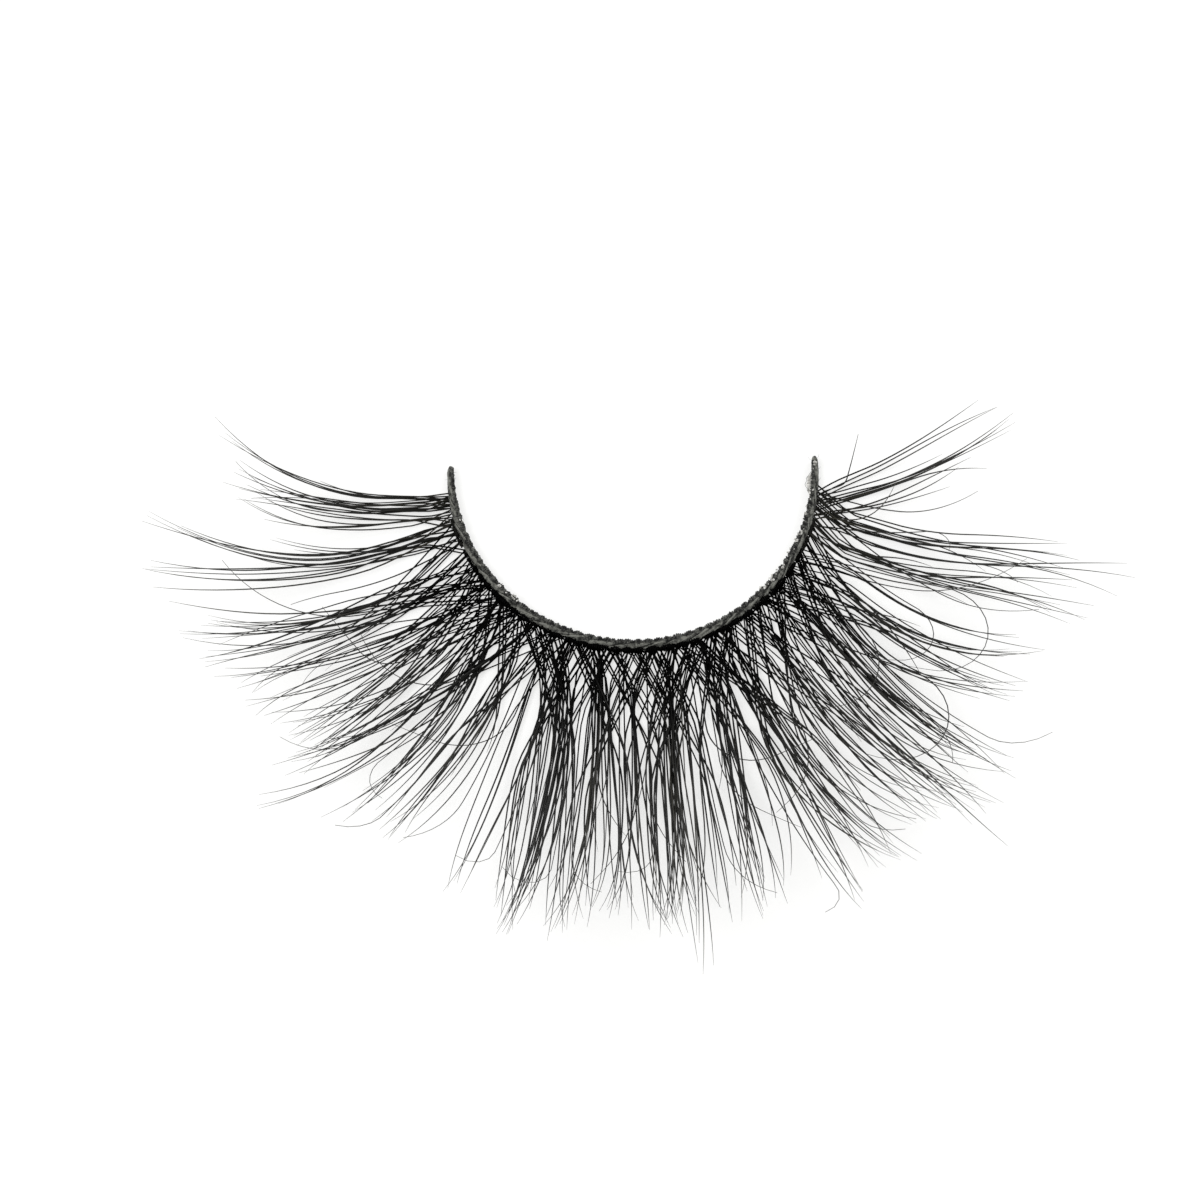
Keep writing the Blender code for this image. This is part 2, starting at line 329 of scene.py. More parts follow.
def cotton_material(name, dark, light):
    """Matte dyed cotton: each strand a little lighter or darker, with fine fibres."""
    made, nodes, links, shader = new_material(name)
    fibre = noise_value(
        nodes, links, COTTON_GRAIN, COTTON_GRAIN_DETAIL, COTTON_GRAIN_ROUGHNESS
    )
    by_tone = scaled_sum(nodes, links, attribute_value(nodes, "tone"), TONE_SHARE, TONE_BASE)
    mixed = scaled_sum(nodes, links, fibre, FIBRE_SHARE, by_tone)
    colour = ramp_colour(nodes, links, mixed, tuple(zip(COTTON_STOPS, (dark, light))))
    links.new(colour, shader.inputs["Base Color"])
    bump = nodes.new("ShaderNodeBump")
    bump.inputs["Strength"].default_value = COTTON_BUMP
    bump.inputs["Distance"].default_value = COTTON_BUMP_M
    links.new(fibre, bump.inputs["Height"])
    links.new(bump.outputs["Normal"], shader.inputs["Normal"])
    shader.inputs["Roughness"].default_value = COTTON_ROUGHNESS
    shader.inputs["Specular IOR Level"].default_value = COTTON_SPECULAR
    shader.inputs["Sheen Weight"].default_value = COTTON_SHEEN
    shader.inputs["Sheen Roughness"].default_value = COTTON_SHEEN_ROUGHNESS
    return made


# Glue
GLUE_CLOUD = 5000.0
GLUE_CLOUD_DETAIL = 3.0
GLUE_STOPS = ((0.35, (0.26, 0.255, 0.23)), (0.65, (0.80, 0.79, 0.75)))
GLUE_ROUGHNESS = (0.08, 0.35)
GLUE_TRANSMISSION = 0.10
GLUE_IOR = 1.46


def glue_material():
    """Dried clear lash glue: cloudy in places."""
    made, nodes, links, shader = new_material("clear_glue_film")
    cloud = noise_value(nodes, links, GLUE_CLOUD, GLUE_CLOUD_DETAIL)
    links.new(ramp_colour(nodes, links, cloud, GLUE_STOPS), shader.inputs["Base Color"])
    rough = range_value(nodes, links, cloud, GLUE_ROUGHNESS)
    links.new(rough, shader.inputs["Roughness"])
    shader.inputs["Transmission Weight"].default_value = GLUE_TRANSMISSION
    shader.inputs["IOR"].default_value = GLUE_IOR
    return made


# The band: yarns wound round an oval core, with loose fibres
YARNS = 15
YARN_RADIUS = 0.052
YARN_RADIUS_VARIES = (0.85, 1.25)
YARN_PITCH = 4.6
CORD_STEP_DEG = 0.9
CORD_SIDES = 6
BAND_TAPER = 3.0
LEFT_END_SHARE = 0.70
RIGHT_END_SHARE = 0.92
END_ROUNDING = 0.35
END_SHARE = 0.45

# Slow changes along the cord: how many along it, and how large
SWELL = (60, 0.035)
YARN_WANDER = (50, 0.06)
YARN_BULGE = (120, 0.10)

CORE_HEIGHTS = (0.18, 0.31, 0.44)
CORE_RADIUS = 0.125
CORE_SHORTER_DEG = 1.2

FIBRES = 220
FIBRE_STEPS = 4
FIBRE_SIDES = 4
FIBRE_REACH = (0.08, 0.30)
FIBRE_RADII = (0.008, 0.004)
FIBRE_LEAN = 1.2
FIBRE_ROOT_LEAN = 0.4
FIBRE_DROOP = 0.5
FIBRE_LOWEST = 0.02
FIBRE_TONES = (0.3, 1.0)


def end_rounding(degrees, reach):
    """1 along the band, falling to a rounded end over this length in mm."""
    to_end = np.minimum(degrees - LEFT_END_DEG, RIGHT_END_DEG - degrees) * MM_PER_DEGREE
    share = np.clip(to_end / reach, 0.0, 1.0)
    taper = np.clip(to_end / BAND_TAPER, 0.0, 1.0)
    narrowest = np.where(degrees < 0, LEFT_END_SHARE, RIGHT_END_SHARE)
    rounded = END_SHARE + (1 - END_SHARE) * np.sqrt(1 - (1 - share) ** 2)
    return rounded * (narrowest + (1 - narrowest) * taper)


def wander(rng, count, knots, size):
    """A slow random change along a line, of about this size."""
    places = np.linspace(0, 1, knots)
    return np.interp(np.linspace(0, 1, count), places, rng.normal(0, size, knots))


def cord_lines(rng):
    degrees = np.arange(LEFT_END_DEG, RIGHT_END_DEG + CORD_STEP_DEG / 2, CORD_STEP_DEG)
    length = (degrees - LEFT_END_DEG) * MM_PER_DEGREE
    narrow = end_rounding(degrees, END_ROUNDING)
    swell = 1 + wander(rng, len(degrees), *SWELL)
    half_thick = (THICKNESS / 2 - YARN_RADIUS) * narrow * swell
    half_tall = (HEIGHT / 2 - YARN_RADIUS) * narrow * swell
    lines = []
    for number in range(YARNS):
        turn = math.tau * (number / YARNS + length / YARN_PITCH)
        turn = turn + wander(rng, len(degrees), *YARN_WANDER)
        bulge = 1 + wander(rng, len(degrees), *YARN_BULGE)
        outward = half_thick * np.cos(turn) * bulge
        radius = YARN_RADIUS * rng.uniform(*YARN_RADIUS_VARIES)
        height = np.maximum(HEIGHT / 2 + half_tall * np.sin(turn) * bulge, radius)
        lines.append(Line(on_band(degrees, outward, height), radius, rng.uniform(0, 1)))
    return lines


def core_lines():
    """Yarns that fill the inside of the cord, all of the darkest tone: painted shade where the
    core shows in the gaps between the outer yarns.
    """
    first, last = LEFT_END_DEG + CORE_SHORTER_DEG, RIGHT_END_DEG - CORE_SHORTER_DEG
    degrees = np.arange(first, last, 2 * CORD_STEP_DEG)
    return [Line(on_band(degrees, 0.0, height), CORE_RADIUS, 0.0) for height in CORE_HEIGHTS]


def loose_fibre(rng):
    """A short fibre that stands off the cord and leans along it."""
    degrees = rng.uniform(LEFT_END_DEG, RIGHT_END_DEG)
    turn = rng.uniform(0, math.tau)
    outward, height = THICKNESS / 2 * math.cos(turn), HEIGHT / 2 * (1 + math.sin(turn))
    start = on_band(degrees, outward, height)
    reach = rng.uniform(*FIBRE_REACH)
    out = on_band(degrees, 1.0, 0.0) - on_band(degrees, 0.0, 0.0)
    tangent = np.cross(out, (0, 0, 1))
    away = out * math.cos(turn) + np.array([0, 0, abs(math.sin(turn))])
    lean = tangent * rng.normal(0, FIBRE_LEAN)
    share = np.linspace(0, 1, FIBRE_STEPS + 1)[:, None]
    leaning = FIBRE_ROOT_LEAN + (1 - FIBRE_ROOT_LEAN) * share
    points = start + reach * share * (away * (1 - FIBRE_DROOP * share) + lean * leaning)
    points[:, 2] = np.maximum(points[:, 2], FIBRE_LOWEST)
    radius = np.linspace(*FIBRE_RADII, FIBRE_STEPS + 1)
    return Line(points, radius, rng.uniform(*FIBRE_TONES))


# The film of clear glue beside the inner corner's bare end, and the loose fibre round it
FILM_START_DEG = 82.0
FILM_SPAN_DEG = 7.5
FILM_OUTWARD = -0.19
FILM_WIDTH = 0.26
FILM_HEIGHT = 0.45
FILM_ACROSS = 6
FILM_DOWN = 14
FILM_ROUNDNESS = 0.6
FILM_CLOSES_EARLY = 1.02
FILM_EDGE_WAVE = 0.15
FILM_RIPPLE = 0.05
LOOP_STEPS = 24
LOOP_OUTWARD = -0.20
LOOP_WIDTH = 0.30
LOOP_ROUNDNESS = 0.7
LOOP_EDGE_WAVE = 0.12
LOOP_HEIGHT = 0.48
LOOP_RIPPLE = 0.04
LOOP_RADIUS = 0.012
LOOP_TONE = 0.8

# How fast the film's edge waves and its surface ripples along it, in radians
EDGE_WAVES = 19
RIPPLES = 14
RIPPLES_ACROSS = 3


def fibre_loop():
    """The loose fibre that stands off the band's inner side in a loop."""
    share = np.linspace(0, 1, LOOP_STEPS + 1)
    width = LOOP_WIDTH * np.sin(math.pi * share) ** LOOP_ROUNDNESS
    bulge = width * (1 + LOOP_EDGE_WAVE * np.sin(EDGE_WAVES * share))
    height = LOOP_HEIGHT + LOOP_RIPPLE * np.sin(RIPPLES * share)
    loop = on_band(FILM_START_DEG + FILM_SPAN_DEG * share, LOOP_OUTWARD - bulge, height)
    return Line(loop, LOOP_RADIUS, LOOP_TONE)


def make_band(rng):
    lines = core_lines() + cord_lines(rng)
    band = tubes("band_cord", lines, CORD_SIDES)
    band.data.materials.append(cotton_material("band_cotton_yarn", YARN_DARK, YARN_LIGHT))
    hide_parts("band")
    fibres = [loose_fibre(rng) for _ in range(FIBRES)] + [fibre_loop()]
    fuzz = tubes("band_fuzz", fibres, FIBRE_SIDES)
    fuzz.data.materials.append(band.data.materials[0])
    return [band, fuzz]


# The knotted edge: threads wound in coils beside the band's upper inner edge
WRAP_PARTS = 9
THREAD_SIDES = 6
TURN_SIZE = (0.30, 0.95)
TURN_VARIES = (0.75, 1.15)
STEP_VARIES = (0.7, 1.35)
GROUP_GAP = 1.6
COIL_END_SHARE = 0.35
COIL_TONES = (0.2, 0.6)
KNOT_COIL = {
    "outward": -0.115,
    "height": HEIGHT - 0.02,
    "half_out": 0.108,
    "half_up": 0.10,
    "pitch": 0.105,
    "radius": 0.054,
    "group_turns": (2, 7),
    "ends_deg": (1.0, 1.2),
}
LOOSE_COIL = {
    "outward": -0.14,
    "height": HEIGHT - 0.07,
    "half_out": 0.11,
    "half_up": 0.10,
    "pitch": 0.15,
    "radius": 0.032,
    "group_turns": (2, 7),
    "ends_deg": (1.5, 1.7),
}
KNOT_CORE_ENDS_DEG = 0.9
KNOT_CORE_OUTWARD = -0.10
KNOT_CORE_RADIUS = 0.07
KNOT_CORE_TONE = 0.2


def coil_line(rng, first, last, coil):
    """A thread wound round a line beside the band, its turns in uneven groups."""
    degrees, turns, sizes = [], [], []
    here, turn = first, 0.0
    while here < last:
        group = rng.integers(*coil["group_turns"])
        for number in range(group):
            step = coil["pitch"] * rng.uniform(*STEP_VARIES) / MM_PER_DEGREE
            swell = TURN_SIZE[1] * math.sin(math.pi * (number + 0.5) / group)
            size = TURN_SIZE[0] + swell * rng.uniform(*TURN_VARIES)
            parts = np.arange(WRAP_PARTS) / WRAP_PARTS
            degrees += list(here + step * parts)
            turns += list(turn + parts)
            sizes += [size] * WRAP_PARTS
            here += step
            turn += 1.0
        here += rng.uniform(0.0, GROUP_GAP) * coil["pitch"] / MM_PER_DEGREE
    kept = np.array(degrees) < last
    degrees, turns, sizes = np.array(degrees)[kept], np.array(turns)[kept], np.array(sizes)[kept]
    to_end = np.minimum(degrees - first, last - degrees) * MM_PER_DEGREE
    taper = COIL_END_SHARE + (1 - COIL_END_SHARE) * to_end / BAND_TAPER
    size = sizes * np.clip(taper, COIL_END_SHARE, 1.0)
    angle = math.tau * turns
    points = on_band(
        degrees,
        coil["outward"] + coil["half_out"] * size * np.cos(angle),
        coil["height"] + coil["half_up"] * size * np.sin(angle),
    )
    return Line(points, coil["radius"], rng.uniform(*COIL_TONES))


def make_knot_thread(rng):
    lines = []
    for coil in (KNOT_COIL, LOOSE_COIL):
        from_left, from_right = coil["ends_deg"]
        first, last = LEFT_END_DEG + from_left, RIGHT_END_DEG - from_right
        lines.append(coil_line(rng, first, last, coil))
    first, last = LEFT_END_DEG + KNOT_CORE_ENDS_DEG, RIGHT_END_DEG - KNOT_CORE_ENDS_DEG
    degrees = np.arange(first, last, CORD_STEP_DEG)
    core = on_band(degrees, KNOT_CORE_OUTWARD, KNOT_COIL["height"])
    lines.append(Line(core, KNOT_CORE_RADIUS, KNOT_CORE_TONE))
    thread = tubes("knotted_edge", lines, THREAD_SIDES)
    thread.data.materials.append(
        cotton_material("knot_cotton_thread", THREAD_DARK, THREAD_LIGHT)
    )
    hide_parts("knot_thread")
    return thread


# Clear glue: a row a patch of specks along the knotted edge
GLUE_COLUMNS = ("first_deg", "last_deg", "specks")
GLUE = (
    (-49.0, -37.0, 11),
    (-74.0, -70.0, 2),
    (44.0, 53.0, 12),
    (53.0, 62.0, 6),
    (64.0, 71.0, 11),
    (74.0, 84.0, 7),
    (88.5, 92.5, 6),
)
SPECK_RADII = (0.030, 0.078)
SPECK_STRETCH = (0.6, 1.5)
SPECK_LUMPS = 0.25
SPECK_LUMPS_ALONG = 2.5
SPECK_LUMPS_ACROSS = 2.2

# Where the specks lie round the knots: from the inner side over the top
SPECK_TURN_DEG = (40, 120)
SPECK_OUT = 0.21
SPECK_UP = 0.20


def add_glue_speck(rng, shape, place, radius):
    made = bmesh.ops.create_icosphere(shape, subdivisions=2, radius=radius * MM)
    stretch = rng.uniform(*SPECK_STRETCH, 3)
    phase = rng.uniform(0, math.tau, 2)
    for vert in made["verts"]:
        x, y = vert.co.x / (radius * MM), vert.co.y / (radius * MM)
        wave = math.sin(SPECK_LUMPS_ALONG * x + phase[0])
        wave *= math.cos(SPECK_LUMPS_ACROSS * y + phase[1])
        lump = 1 + SPECK_LUMPS * wave
        moved = [vert.co[axis] * stretch[axis] * lump for axis in range(3)]
        vert.co = Vector(moved) + Vector(place * MM)


def film_point(share, wide):
    """A point of the film: share is its place along it, and wide its place across."""
    round_edge = math.sin(math.pi * min(1, share * FILM_CLOSES_EARLY)) ** FILM_ROUNDNESS
    edge = FILM_WIDTH * round_edge * (1 + FILM_EDGE_WAVE * math.sin(share * EDGE_WAVES))
    lift = FILM_HEIGHT + FILM_RIPPLE * math.sin(share * RIPPLES + wide * RIPPLES_ACROSS)
    return on_band(FILM_START_DEG + FILM_SPAN_DEG * share, FILM_OUTWARD - edge * wide, lift)


def add_film(shape):
    grid = []
    for row in range(FILM_DOWN + 1):
        for column in range(FILM_ACROSS + 1):
            point = film_point(row / FILM_DOWN, column / FILM_ACROSS) + CENTRE
            grid.append(shape.verts.new(Vector(point * MM)))
    for row in range(FILM_DOWN):
        for column in range(FILM_ACROSS):
            corner = row * (FILM_ACROSS + 1) + column
            below = corner + FILM_ACROSS + 1
            ring = (corner, corner + 1, below + 1, below)
            shape.faces.new([grid[index] for index in ring])


def make_glue(rng):
    shape = bmesh.new()
    for row in GLUE:
        patch = dict(zip(GLUE_COLUMNS, row))
        for _ in range(patch["specks"]):
            degrees = rng.uniform(patch["first_deg"], patch["last_deg"])
            turn = math.radians(rng.uniform(*SPECK_TURN_DEG))
            outward = KNOT_COIL["outward"] - SPECK_OUT * math.cos(turn)
            height = KNOT_COIL["height"] + SPECK_UP * math.sin(turn)
            place = on_band(degrees, outward, height) + CENTRE
            add_glue_speck(rng, shape, place, rng.uniform(*SPECK_RADII))
    add_film(shape)
    mesh = bpy.data.meshes.new("glue_specks")
    shape.to_mesh(mesh)
    shape.free()
    mesh.shade_smooth()
    glue = add_object("glue_specks", mesh)
    glue.data.materials.append(glue_material())
    return glue


# Hair clumps, a row each. root_deg: where round the band it starts.
# tip_deg, tip_mm: its tip's bearing and distance from the middle of the band's curve.
# bow_mm: how far it bows to its left.
# spread_mm: how far along the band, to each side, its hairs start.
# fan_mm: its half width past the crossing. loose: how freely its hairs stray, 0 to 1.1.
CLUMP_COLUMNS = (
    "root_deg", "tip_deg", "tip_mm", "bow_mm", "spread_mm", "fan_mm", "loose", "hairs"
)
SECTIONS = {
    "outer_corner": (
        (-81.5, -90.4, 22.8, 0.6, 0.3, 0.12, 0.12, 5),
        (-80.0, -85.0, 22.4, 0.3, 0.5, 0.5, 0.7, 6),
        (-78.0, -83.0, 21.8, -0.2, 0.6, 0.5, 0.9, 5),
        (-74.0, -79.0, 21.8, -0.3, 0.8, 0.5, 0.8, 5),
        (-71.5, -72.0, 20.6, 0.0, 0.4, 0.3, 0.4, 3),
    ),
    "outer_edge": (
        (-73.0, -78.0, 27.2, 1.7, 0.8, 0.5, 0.12, 6),
        (-67.5, -70.5, 28.0, -0.3, 1.2, 0.6, 0.5, 7),
    ),
    "outer_side": (
        (-55.5, -62.0, 27.8, 0.1, 2.6, 1.1, 0.9, 14),
        (-61.0, -56.5, 27.5, -0.3, 2.4, 1.3, 1.1, 13),
        (-50.0, -52.0, 27.0, -0.3, 2.4, 1.3, 1.1, 13),
        (-44.5, -47.5, 27.3, 0.0, 1.8, 1.0, 0.7, 7),
        (-46.5, -41.0, 27.0, 0.0, 2.6, 1.3, 0.8, 17),
        (-41.5, -38.5, 31.8, 0.7, 1.4, 0.7, 0.4, 5),
        (-32.5, -39.5, 28.8, -0.2, 2.2, 1.1, 0.9, 11),
        (-43.0, -32.0, 29.3, 1.1, 2.2, 1.1, 0.8, 11),
        (-33.0, -27.5, 29.0, 0.6, 2.6, 1.2, 1.1, 15),
    ),
    "centre": (
        (-25.0, -19.0, 31.3, 0.0, 1.5, 0.8, 0.5, 7),
        (-25.5, -12.5, 32.8, 0.4, 2.6, 1.2, 0.6, 18),
        (-16.0, -11.0, 31.5, 0.4, 2.4, 1.2, 0.8, 13),
        (-17.5, -7.5, 32.8, 0.5, 2.2, 1.2, 0.7, 12),
        (-9.0, -5.0, 31.8, 0.0, 2.4, 1.2, 0.8, 14),
        (-6.0, -2.0, 31.8, 0.0, 2.4, 1.2, 0.8, 14),
        (2.5, 2.5, 32.3, -0.2, 2.8, 1.4, 0.9, 20),
        (13.0, 3.0, 31.3, 0.0, 2.4, 1.2, 0.7, 14),
        (11.5, 6.0, 34.8, 0.0, 1.4, 0.8, 0.3, 5),
        (14.0, 7.5, 31.0, 0.2, 2.6, 1.3, 0.8, 16),
        (22.5, 11.5, 31.3, 0.0, 2.2, 1.1, 0.8, 13),
        (21.5, 16.0, 30.9, 0.3, 2.2, 1.2, 0.9, 11),
    ),
    "inner_side": (
        (25.5, 21.0, 32.8, 0.4, 1.6, 0.8, 0.4, 7),
        (27.5, 26.5, 31.3, -0.1, 2.8, 1.3, 0.8, 21),
        (39.5, 31.5, 29.5, -0.4, 2.8, 1.4, 1.0, 21),
        (45.0, 36.5, 30.8, 0.0, 2.4, 1.3, 0.8, 15),
        (46.0, 36.0, 33.8, 0.6, 1.0, 0.5, 0.3, 3),
        (57.0, 42.5, 30.0, -0.6, 1.4, 0.8, 0.4, 7),
        (52.5, 41.0, 28.0, 0.0, 2.4, 1.2, 0.7, 14),
        (58.0, 51.0, 26.6, -0.4, 2.6, 1.4, 1.0, 15),
        (62.0, 56.5, 26.0, -0.8, 2.3, 1.2, 0.8, 12),
    ),
    "inner_edge": (
        (68.0, 66.0, 27.3, 0.3, 0.8, 0.6, 0.6, 6),
        (65.5, 69.5, 25.8, 0.2, 0.6, 0.7, 0.6, 6),
        (73.0, 71.0, 28.8, 0.2, 0.4, 0.4, 0.4, 3),
        (75.0, 72.5, 25.4, 0.3, 0.6, 0.5, 0.5, 10),
    ),
    "inner_corner": (
        (82.0, 96.5, 20.0, 0.25, 0.4, 0.3, 0.3, 3),
        (80.5, 93.8, 20.8, 0.25, 0.4, 0.3, 0.3, 3),
        (79.0, 91.5, 20.9, 0.30, 0.4, 0.3, 0.3, 3),
        (77.0, 88.5, 19.0, 0.25, 0.3, 0.3, 0.3, 2),
        (75.0, 84.5, 17.9, 0.20, 0.3, 0.2, 0.3, 2),
        (74.0, 81.0, 14.7, 0.10, 0.2, 0.1, 0.3, 1),
    ),
}

# Hair: how many of the table's hairs are made, as a share, their size and their thinning
HAIR_STEPS = 20
HAIR_SIDES = 6
HAIRS_MADE = 0.92
HAIR_ROOT_RADIUS = 0.045
HAIR_RADIUS_VARIES = (0.82, 1.15)
HAIR_TIP_SHARE = 0.13
HAIR_THINNING = 3.6
ROOT_OUTWARD = 0.10

# Roots: drawn a little towards knots at even steps, and none on the band's bare ends
KNOT_PITCH = 1.15
KNOT_PULL = 0.30
END_KNOT_PULL = 0.1
KNOTS_TO_DEG = 70.0
BARE_DEG = 7.0
ROOT_SPACING_VARIES = (0.3, 0.7)

# Near the band: the angle at which hairs cross to their lanes, and how they swap sides
CROSSING_DEG = (17.0, 27.0)
BUNDLE_ANGLE_DEG = 1.5
HAIR_ANGLE_DEG = 0.4
CROSSING_LENGTH = (1.2, 8.5)
CROSSING_ROUNDING = 0.05
LANE_SWAP = 0.5
ORDERLY_SPREAD = 0.7
LANE_VARIES = 0.15
LANE_LIMIT = 1.2
FAN_MORE = 1.15

# The inner edge's clumps start nearer the band's end and sweep down and out from there
SWEEP_DEG = 7.5
SWEEP_FROM_DEG = 64.5
SWEEP_TO_TIP_DEG = 75.0
SWEEP_CROSSING_DEG = 36.0
SWEEP_TIP_DROP = 1.1

# Bundles of hairs that stay together, and how much they and single hairs wave
BUNDLE_HAIRS = (2, 6)
BUNDLE_WAVE = 0.7
HAIR_WAVE = 0.6
FREE_WAVE = 0.65
KEPT_WAVE = 0.35
WAVE_PEAK = 27 / 4
LOOSE_BASE = 0.3

# Tips: free hairs and hooked ones stray from the clump, and some hairs are short
TIPS_APART = 0.10
FREE_APART = 0.80
FREE_HAIRS = 0.30
BUNDLE_TIP = 0.6
HAIR_TIP = 0.7
FREE_TIP = 0.9
KEPT_TIP = 0.4
TIP_SHIFT_FROM = 0.3
HOOKED_HAIRS = 0.07
HOOK = 2.4
LEAN = 0.40
LEAN_POWER = 1.3
TIP_CURL = 0.42
TIP_CURL_FROM = 0.62
SHORTER = 0.14
SHORTER_POWER = 1.5
SHORT_HAIRS = 0.08
SHORT_SHARE = (0.45, 0.75)

# Heights above the floor: from the band down to a belly, then up in a curl
BELLY_START = 0.14
BELLY_END = 0.30
RISE_SHARE = 0.33
RISE_VARIES = 0.10
CURL_POWER = 1.75
ROOT_HEIGHTS = (0.10, 0.42)
BELLY_HEIGHTS = (0.07, 0.55)


def soft_fall(amount):
    """1 at 0, straight down to 0 at 1, with a rounded end."""
    fall = 1 - amount
    rounded = fall + np.sqrt(fall**2 + CROSSING_ROUNDING)
    return rounded / (1 + math.sqrt(1 + CROSSING_ROUNDING))


def hair_height(t, root_height, belly_height, rise):
    """Height above the floor: down from the band to the belly, then up in a curl."""
    down = np.clip(1 - t / BELLY_START, 0, 1)
    up = np.clip((t - BELLY_END) / (1 - BELLY_END), 0, None)
    down = down * down * (3 - 2 * down)
    return root_height * down + belly_height * (1 - down) + rise * up**CURL_POWER


def from_here(share, start):
    """0 up to this share of the length, then growing faster and faster to 1 at the tip."""
    return np.clip((share - start) / (1 - start), 0, 1) ** 2


class Clump:
    """A clump's place: its root, its reach, the directions along and to its left, its sweep."""

    def __init__(self, row):
        self.row = dict(zip(CLUMP_COLUMNS, row))
        self.root = on_band(self.row["root_deg"], THICKNESS / 2, 0.0)
        bearing = math.radians(self.row["tip_deg"])
        tip = self.row["tip_mm"] * np.array([math.sin(bearing), -math.cos(bearing), 0.0])
        chord = tip - self.root
        self.reach = np.linalg.norm(chord)
        self.along = chord / self.reach
        self.left = np.array([-self.along[1], self.along[0], 0.0])
        self.loose = self.row["loose"]
        self.calm = LOOSE_BASE + (1 - LOOSE_BASE) * self.loose
        from_edge = self.row["root_deg"] > SWEEP_FROM_DEG
        self.sweeps = from_edge and self.row["tip_deg"] < SWEEP_TO_TIP_DEG
        self.swapped = LANE_SWAP if self.row["spread_mm"] > ORDERLY_SPREAD else -1.0


def hair_offset(clump, aside):
    """Where a hair starts, from the clump's root, this far aside along the band."""
    sweep = SWEEP_DEG if clump.sweeps else 0.0
    degrees = clump.row["root_deg"] + sweep + aside / MM_PER_DEGREE
    knot = round(degrees * MM_PER_DEGREE / KNOT_PITCH) * KNOT_PITCH / MM_PER_DEGREE
    pull = KNOT_PULL if abs(degrees) < KNOTS_TO_DEG else END_KNOT_PULL
    degrees = (1 - pull) * degrees + pull * knot
    degrees = np.clip(degrees, LEFT_END_DEG + BARE_DEG, RIGHT_END_DEG - BARE_DEG)
    return on_band(degrees, ROOT_OUTWARD, 0.0) - clump.root


def hair_share(rng, longest):
    """How much of the clump's reach this hair has."""
    reached = 1 - SHORTER * rng.uniform(0, 1) ** SHORTER_POWER
    if rng.uniform(0, 1) < SHORT_HAIRS:
        reached = rng.uniform(*SHORT_SHARE)
    return 1.0 if longest else reached


def hair_bends(rng, clump, bundle, share, t, free):
    """How far the hair bends off its lane, to the left: its wave, its lean and its tip."""
    wave = BUNDLE_WAVE * bundle["curve"] + HAIR_WAVE * rng.normal(0, 1)
    wave = wave * (FREE_WAVE if free else KEPT_WAVE) * clump.calm
    bends = wave * WAVE_PEAK * t**2 * (1 - t)
    tip_shift = BUNDLE_TIP * bundle["tip"] + HAIR_TIP * rng.normal(0, 1)
    tip_shift = tip_shift * (FREE_TIP if free else KEPT_TIP)
    if rng.uniform(0, 1) < HOOKED_HAIRS:
        tip_shift = rng.uniform(-HOOK, HOOK)
    bends = bends + tip_shift * clump.loose * from_here(share, TIP_SHIFT_FROM)
    bends = bends + rng.normal(0, LEAN) * clump.loose * t**LEAN_POWER
    curl = rng.normal(0, TIP_CURL) * clump.calm
    if clump.sweeps:
        curl -= SWEEP_TIP_DROP
    return bends + curl * from_here(share, TIP_CURL_FROM) + 4 * clump.row["bow_mm"] * t * (1 - t)


def hair_line(rng, clump, bundle, crossing, number, count):
    """One hair: straight across at an angle as far as its lane, then along the lane."""
    place = 2 * (number + rng.uniform(*ROOT_SPACING_VARIES)) / count - 1
    offset = hair_offset(clump, clump.row["spread_mm"] * place)
    share = np.linspace(0, 1, HAIR_STEPS + 1)
    t = share * hair_share(rng, number == count // 2)
    lane = bundle["lane"] + rng.normal(0, LANE_VARIES) - clump.swapped * place
    lane_side = np.clip(lane, -LANE_LIMIT, LANE_LIMIT) * clump.row["fan_mm"] * FAN_MORE
    across = offset @ clump.left
    angle = crossing[1 if across > lane_side else -1]
    angle = angle + bundle["angle"] + rng.normal(0, HAIR_ANGLE_DEG)
    meet = np.clip(abs(across - lane_side) / math.tan(math.radians(angle)), *CROSSING_LENGTH)
    fall = soft_fall(t * clump.reach / meet)
    free = rng.uniform(0, 1) < FREE_HAIRS
    apart = FREE_APART * min(clump.loose, 1.0) if free else TIPS_APART
    closing = 1 - (1 - apart) * t**2
    sideways = across * fall + lane_side * closing * (1 - fall)
    sideways = sideways + hair_bends(rng, clump, bundle, share, t, free)
    ahead = t * clump.reach + (offset @ clump.along) * fall
    points = clump.root + np.outer(ahead, clump.along) + np.outer(sideways, clump.left)
    rise = RISE_SHARE * clump.reach * rng.normal(1.0, RISE_VARIES)
    root_height, belly_height = rng.uniform(*ROOT_HEIGHTS), rng.uniform(*BELLY_HEIGHTS)
    points[:, 2] = hair_height(t, root_height, belly_height, rise)
    radius = HAIR_ROOT_RADIUS * rng.uniform(*HAIR_RADIUS_VARIES)
    radius = radius * (1 - (1 - HAIR_TIP_SHARE) * share**HAIR_THINNING)
    return Line(points, radius, rng.uniform(0, 1))


def clump_lines(rng, row):
    """The clump's hairs: from roots spread along the band, crossing, then drawn together."""
    clump = Clump(row)
    crossing = {-1: rng.uniform(*CROSSING_DEG), 1: rng.uniform(*CROSSING_DEG)}
    if clump.sweeps:
        crossing = {-1: SWEEP_CROSSING_DEG, 1: SWEEP_CROSSING_DEG}
    count = round(clump.row["hairs"] * HAIRS_MADE)
    lines = []
    bundle_end = 0
    for number in range(count):
        if number == bundle_end:
            bundle_end += rng.integers(*BUNDLE_HAIRS)
            bundle = {
                "lane": rng.uniform(-1, 1),
                "tip": rng.normal(0, 1),
                "curve": rng.normal(0, 1),
                "angle": rng.normal(0, BUNDLE_ANGLE_DEG),
            }
        lines.append(hair_line(rng, clump, bundle, crossing, number, count))
    return lines


